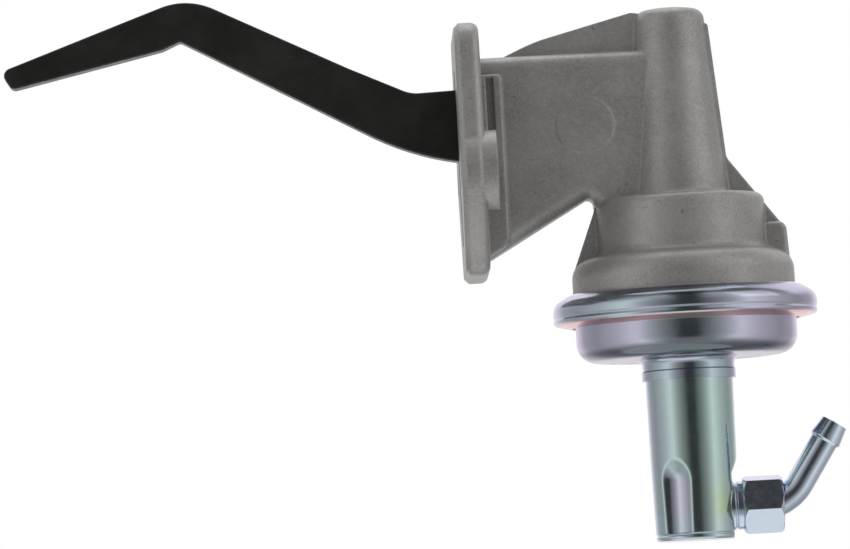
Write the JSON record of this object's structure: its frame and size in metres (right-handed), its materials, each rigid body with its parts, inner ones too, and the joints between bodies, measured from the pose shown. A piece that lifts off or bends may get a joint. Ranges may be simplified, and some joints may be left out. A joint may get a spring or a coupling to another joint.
{
  "type": "mechanical fuel pump",
  "caption": "Cast pump body with a flange, a spring tower and a long rocker arm, over a rolled diaphragm joint, a pressed bowl and can, and a bent hose tube.",
  "frame": {"origin": "middle of the flange's two bolt holes, on the mounting face", "axes": "+X from the mounting face to the pump, +Z along the diaphragm axis up to the spring tower, -Y the near side in the picture"},
  "size_m": [0.2793, 0.1068, 0.1917],
  "materials": {
    "cast_body": "matte, shot-blasted die casting",
    "arm_steel": "satin black phosphate",
    "plain_steel": "plain pressed or turned steel",
    "spring_steel": "oiled spring wire",
    "zinc_plate": "bright zinc plating with a faint rainbow tint",
    "valve_brass": "turned and pressed brass",
    "seal_rubber": "fuel-proof rubber",
    "diaphragm_cloth": "rubbered fabric"
  },
  "bodies": {
    "housing": {"body_casting": "cast_body", "pivot_pin": "plain_steel", "arm_return_spring": "spring_steel", "rod_seal": "seal_rubber", "seal_retainer": "plain_steel", "diaphragm_spring": "spring_steel", "diaphragm": "diaphragm_cloth", "valve_plate": "plain_steel", "bowl_gasket": "seal_rubber", "crimp_ring": "zinc_plate", "fuel_bowl": "zinc_plate", "fuel_riser": "plain_steel", "fuel_can": "zinc_plate", "inlet_port": "zinc_plate", "tube_nut": "zinc_plate", "inlet_tube": "zinc_plate", "outlet_port": "zinc_plate", "inlet_valve_seat": "valve_brass", "inlet_valve_cage": "valve_brass", "inlet_valve_spring": "spring_steel", "outlet_valve_seat": "valve_brass", "outlet_valve_cage": "valve_brass", "outlet_valve_spring": "spring_steel"},
    "arm": {"rocker_arm": "arm_steel", "arm_bushing": "plain_steel", "return_spring_seat": "plain_steel"},
    "rod": {"pull_rod": "plain_steel", "upper_diaphragm_plate": "plain_steel", "lower_diaphragm_plate": "plain_steel"},
    "inlet_disc": {"inlet_valve_disc": "seal_rubber"},
    "outlet_disc": {"outlet_valve_disc": "seal_rubber"}
  },
  "joints": [
    {"name": "arm_pivot", "type": "hinge", "parent": "housing", "child": "arm", "pos_m": [0.0433, 0, 0.0154], "axis": [0, -1, 0], "range_deg": [0, 5.5], "stiffness_Nm_per_rad": 2.4, "springref_deg": -25.78, "deforming": ["arm_return_spring"]},
    {"name": "rod_slide", "type": "slide", "parent": "housing", "child": "rod", "axis": [0, 0, 1], "range_m": [0, 0.003], "stiffness_N_per_m": 1500, "springref_m": -0.02, "deforming": ["diaphragm_spring", "diaphragm"]},
    {"name": "inlet_valve_lift", "type": "slide", "parent": "housing", "child": "inlet_disc", "axis": [0, 0, 1], "range_m": [0, 0.001], "stiffness_N_per_m": 40, "springref_m": -0.002, "deforming": ["inlet_valve_spring"]},
    {"name": "outlet_valve_lift", "type": "slide", "parent": "housing", "child": "outlet_disc", "axis": [0, 0, -1], "range_m": [0, 0.001], "stiffness_N_per_m": 40, "springref_m": -0.002, "deforming": ["outlet_valve_spring"]}
  ],
  "couplings": [
    {"joint": "rod_slide", "follows": "arm_pivot", "m_per_rad": 0.0308}
  ]
}
